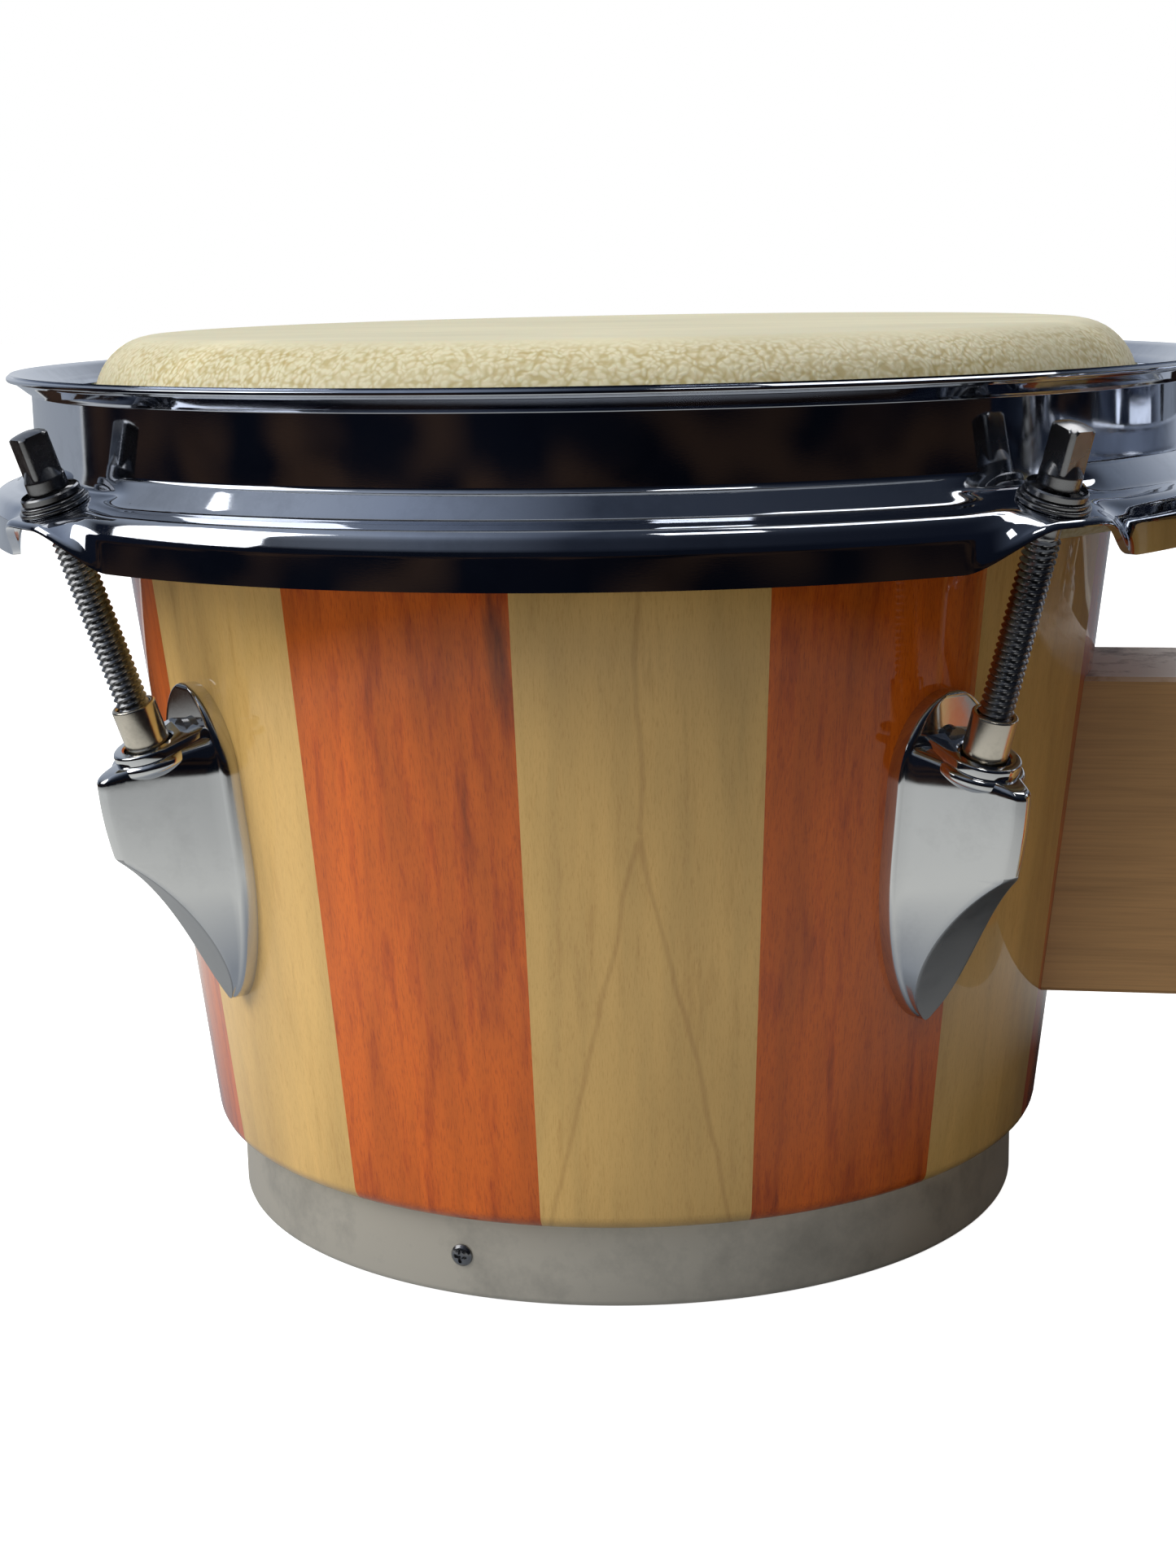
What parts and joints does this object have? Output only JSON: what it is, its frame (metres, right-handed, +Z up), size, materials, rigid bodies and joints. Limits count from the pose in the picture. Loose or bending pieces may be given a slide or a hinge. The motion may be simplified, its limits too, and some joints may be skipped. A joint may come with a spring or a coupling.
{
  "type": "bongo drums",
  "caption": "Pair of staved wooden bongo drums with rawhide heads, chrome rims and key-tuned tension rods, joined by a wooden bridge block.",
  "frame": {"origin": "on the standing surface under the middle of the pair's bounding box", "axes": "+X from the large drum to the small drum, +Z up out of the heads"},
  "size_m": [0.4806, 0.243, 0.1725],
  "materials": {
    "natural_wood": "gloss lacquer",
    "stained_wood": "gloss lacquer over red-orange stain",
    "block_wood": "matte sealed",
    "brushed_ring": "fine brushed",
    "chrome_rim": "polished",
    "chrome_lug": "polished",
    "nickel_nut": "nickel plated",
    "steel_rod": "plated, satin",
    "screws": "nickel plated",
    "washers": "zinc plated",
    "hoop_wire": "bare wire",
    "rawhide": "rawhide, satin"
  },
  "bodies": {
    "shells": {"large_staves_natural": "natural_wood", "large_staves_stained": "stained_wood", "large_bottom_ring": "brushed_ring", "large_ring_screws": "screws", "large_lug_screws": "screws", "large_lug_screw_washers": "washers", "large_lug_1": "chrome_lug", "large_swivel_nut_1": "nickel_nut", "large_lug_2": "chrome_lug", "large_swivel_nut_2": "nickel_nut", "large_lug_3": "chrome_lug", "large_swivel_nut_3": "nickel_nut", "large_lug_4": "chrome_lug", "large_swivel_nut_4": "nickel_nut", "small_staves_natural": "natural_wood", "small_staves_stained": "stained_wood", "small_bottom_ring": "brushed_ring", "small_ring_screws": "screws", "small_lug_screws": "screws", "small_lug_screw_washers": "washers", "small_lug_1": "chrome_lug", "small_swivel_nut_1": "nickel_nut", "small_lug_2": "chrome_lug", "small_swivel_nut_2": "nickel_nut", "small_lug_3": "chrome_lug", "small_swivel_nut_3": "nickel_nut", "small_lug_4": "chrome_lug", "small_swivel_nut_4": "nickel_nut", "bridge_block": "block_wood", "bridge_rods": "steel_rod", "bridge_washers": "washers", "bridge_nuts": "screws"},
    "large_head": {"large_rim": "chrome_rim", "large_skin_head": "rawhide", "large_flesh_hoop": "hoop_wire"},
    "large_rod_washers_1": {"large_rod_washers_1": "washers"},
    "large_tension_rod_1": {"large_tension_rod_1": "steel_rod"},
    "large_rod_washers_2": {"large_rod_washers_2": "washers"},
    "large_tension_rod_2": {"large_tension_rod_2": "steel_rod"},
    "large_rod_washers_3": {"large_rod_washers_3": "washers"},
    "large_tension_rod_3": {"large_tension_rod_3": "steel_rod"},
    "large_rod_washers_4": {"large_rod_washers_4": "washers"},
    "large_tension_rod_4": {"large_tension_rod_4": "steel_rod"},
    "small_head": {"small_rim": "chrome_rim", "small_skin_head": "rawhide", "small_flesh_hoop": "hoop_wire"},
    "small_rod_washers_1": {"small_rod_washers_1": "washers"},
    "small_tension_rod_1": {"small_tension_rod_1": "steel_rod"},
    "small_rod_washers_2": {"small_rod_washers_2": "washers"},
    "small_tension_rod_2": {"small_tension_rod_2": "steel_rod"},
    "small_rod_washers_3": {"small_rod_washers_3": "washers"},
    "small_tension_rod_3": {"small_tension_rod_3": "steel_rod"},
    "small_rod_washers_4": {"small_rod_washers_4": "washers"},
    "small_tension_rod_4": {"small_tension_rod_4": "steel_rod"}
  },
  "joints": [
    {"name": "large_head_lift", "type": "slide", "parent": "shells", "child": "large_head", "axis": [0, 0, 1], "range_m": [0, 0.006]},
    {"name": "large_rod_1_climb", "type": "slide", "parent": "shells", "child": "large_rod_washers_1", "axis": [0.2279, 0.2279, 0.9466], "range_m": [0, 0.00569]},
    {"name": "large_rod_1_turn", "type": "hinge", "parent": "large_rod_washers_1", "child": "large_tension_rod_1", "pos_m": [-0.043, 0.0758, 0.1091], "axis": [0.2279, 0.2279, 0.9466], "range_deg": [0, 1705]},
    {"name": "large_rod_2_climb", "type": "slide", "parent": "shells", "child": "large_rod_washers_2", "axis": [-0.2279, 0.2279, 0.9466], "range_m": [0, 0.00569]},
    {"name": "large_rod_2_turn", "type": "hinge", "parent": "large_rod_washers_2", "child": "large_tension_rod_2", "pos_m": [-0.1946, 0.0758, 0.1091], "axis": [-0.2279, 0.2279, 0.9466], "range_deg": [0, 1705]},
    {"name": "large_rod_3_climb", "type": "slide", "parent": "shells", "child": "large_rod_washers_3", "axis": [-0.2279, -0.2279, 0.9466], "range_m": [0, 0.00569]},
    {"name": "large_rod_3_turn", "type": "hinge", "parent": "large_rod_washers_3", "child": "large_tension_rod_3", "pos_m": [-0.1946, -0.0758, 0.1091], "axis": [-0.2279, -0.2279, 0.9466], "range_deg": [0, 1705]},
    {"name": "large_rod_4_climb", "type": "slide", "parent": "shells", "child": "large_rod_washers_4", "axis": [0.2279, -0.2279, 0.9466], "range_m": [0, 0.00569]},
    {"name": "large_rod_4_turn", "type": "hinge", "parent": "large_rod_washers_4", "child": "large_tension_rod_4", "pos_m": [-0.043, -0.0758, 0.1091], "axis": [0.2279, -0.2279, 0.9466], "range_deg": [0, 1705]},
    {"name": "small_head_lift", "type": "slide", "parent": "shells", "child": "small_head", "axis": [0, 0, 1], "range_m": [0, 0.006]},
    {"name": "small_rod_1_climb", "type": "slide", "parent": "shells", "child": "small_rod_washers_1", "axis": [0.2279, 0.2279, 0.9466], "range_m": [0, 0.00569]},
    {"name": "small_rod_1_turn", "type": "hinge", "parent": "small_rod_washers_1", "child": "small_tension_rod_1", "pos_m": [0.19832, 0.06682, 0.1091], "axis": [0.2279, 0.2279, 0.9466], "range_deg": [0, 1705]},
    {"name": "small_rod_2_climb", "type": "slide", "parent": "shells", "child": "small_rod_washers_2", "axis": [-0.2279, 0.2279, 0.9466], "range_m": [0, 0.00569]},
    {"name": "small_rod_2_turn", "type": "hinge", "parent": "small_rod_washers_2", "child": "small_tension_rod_2", "pos_m": [0.06468, 0.06682, 0.1091], "axis": [-0.2279, 0.2279, 0.9466], "range_deg": [0, 1705]},
    {"name": "small_rod_3_climb", "type": "slide", "parent": "shells", "child": "small_rod_washers_3", "axis": [-0.2279, -0.2279, 0.9466], "range_m": [0, 0.00569]},
    {"name": "small_rod_3_turn", "type": "hinge", "parent": "small_rod_washers_3", "child": "small_tension_rod_3", "pos_m": [0.06468, -0.06682, 0.1091], "axis": [-0.2279, -0.2279, 0.9466], "range_deg": [0, 1705]},
    {"name": "small_rod_4_climb", "type": "slide", "parent": "shells", "child": "small_rod_washers_4", "axis": [0.2279, -0.2279, 0.9466], "range_m": [0, 0.00569]},
    {"name": "small_rod_4_turn", "type": "hinge", "parent": "small_rod_washers_4", "child": "small_tension_rod_4", "pos_m": [0.19832, -0.06682, 0.1091], "axis": [0.2279, -0.2279, 0.9466], "range_deg": [0, 1705]}
  ],
  "couplings": [
    {"joint": "large_rod_1_climb", "follows": "large_head_lift", "ratio": 0.94665},
    {"joint": "large_rod_1_turn", "follows": "large_head_lift", "rad_per_m": 4956.6},
    {"joint": "large_rod_2_climb", "follows": "large_head_lift", "ratio": 0.94665},
    {"joint": "large_rod_2_turn", "follows": "large_head_lift", "rad_per_m": 4956.6},
    {"joint": "large_rod_3_climb", "follows": "large_head_lift", "ratio": 0.94665},
    {"joint": "large_rod_3_turn", "follows": "large_head_lift", "rad_per_m": 4956.6},
    {"joint": "large_rod_4_climb", "follows": "large_head_lift", "ratio": 0.94665},
    {"joint": "large_rod_4_turn", "follows": "large_head_lift", "rad_per_m": 4956.6},
    {"joint": "small_rod_1_climb", "follows": "small_head_lift", "ratio": 0.94665},
    {"joint": "small_rod_1_turn", "follows": "small_head_lift", "rad_per_m": 4956.6},
    {"joint": "small_rod_2_climb", "follows": "small_head_lift", "ratio": 0.94665},
    {"joint": "small_rod_2_turn", "follows": "small_head_lift", "rad_per_m": 4956.6},
    {"joint": "small_rod_3_climb", "follows": "small_head_lift", "ratio": 0.94665},
    {"joint": "small_rod_3_turn", "follows": "small_head_lift", "rad_per_m": 4956.6},
    {"joint": "small_rod_4_climb", "follows": "small_head_lift", "ratio": 0.94665},
    {"joint": "small_rod_4_turn", "follows": "small_head_lift", "rad_per_m": 4956.6}
  ]
}
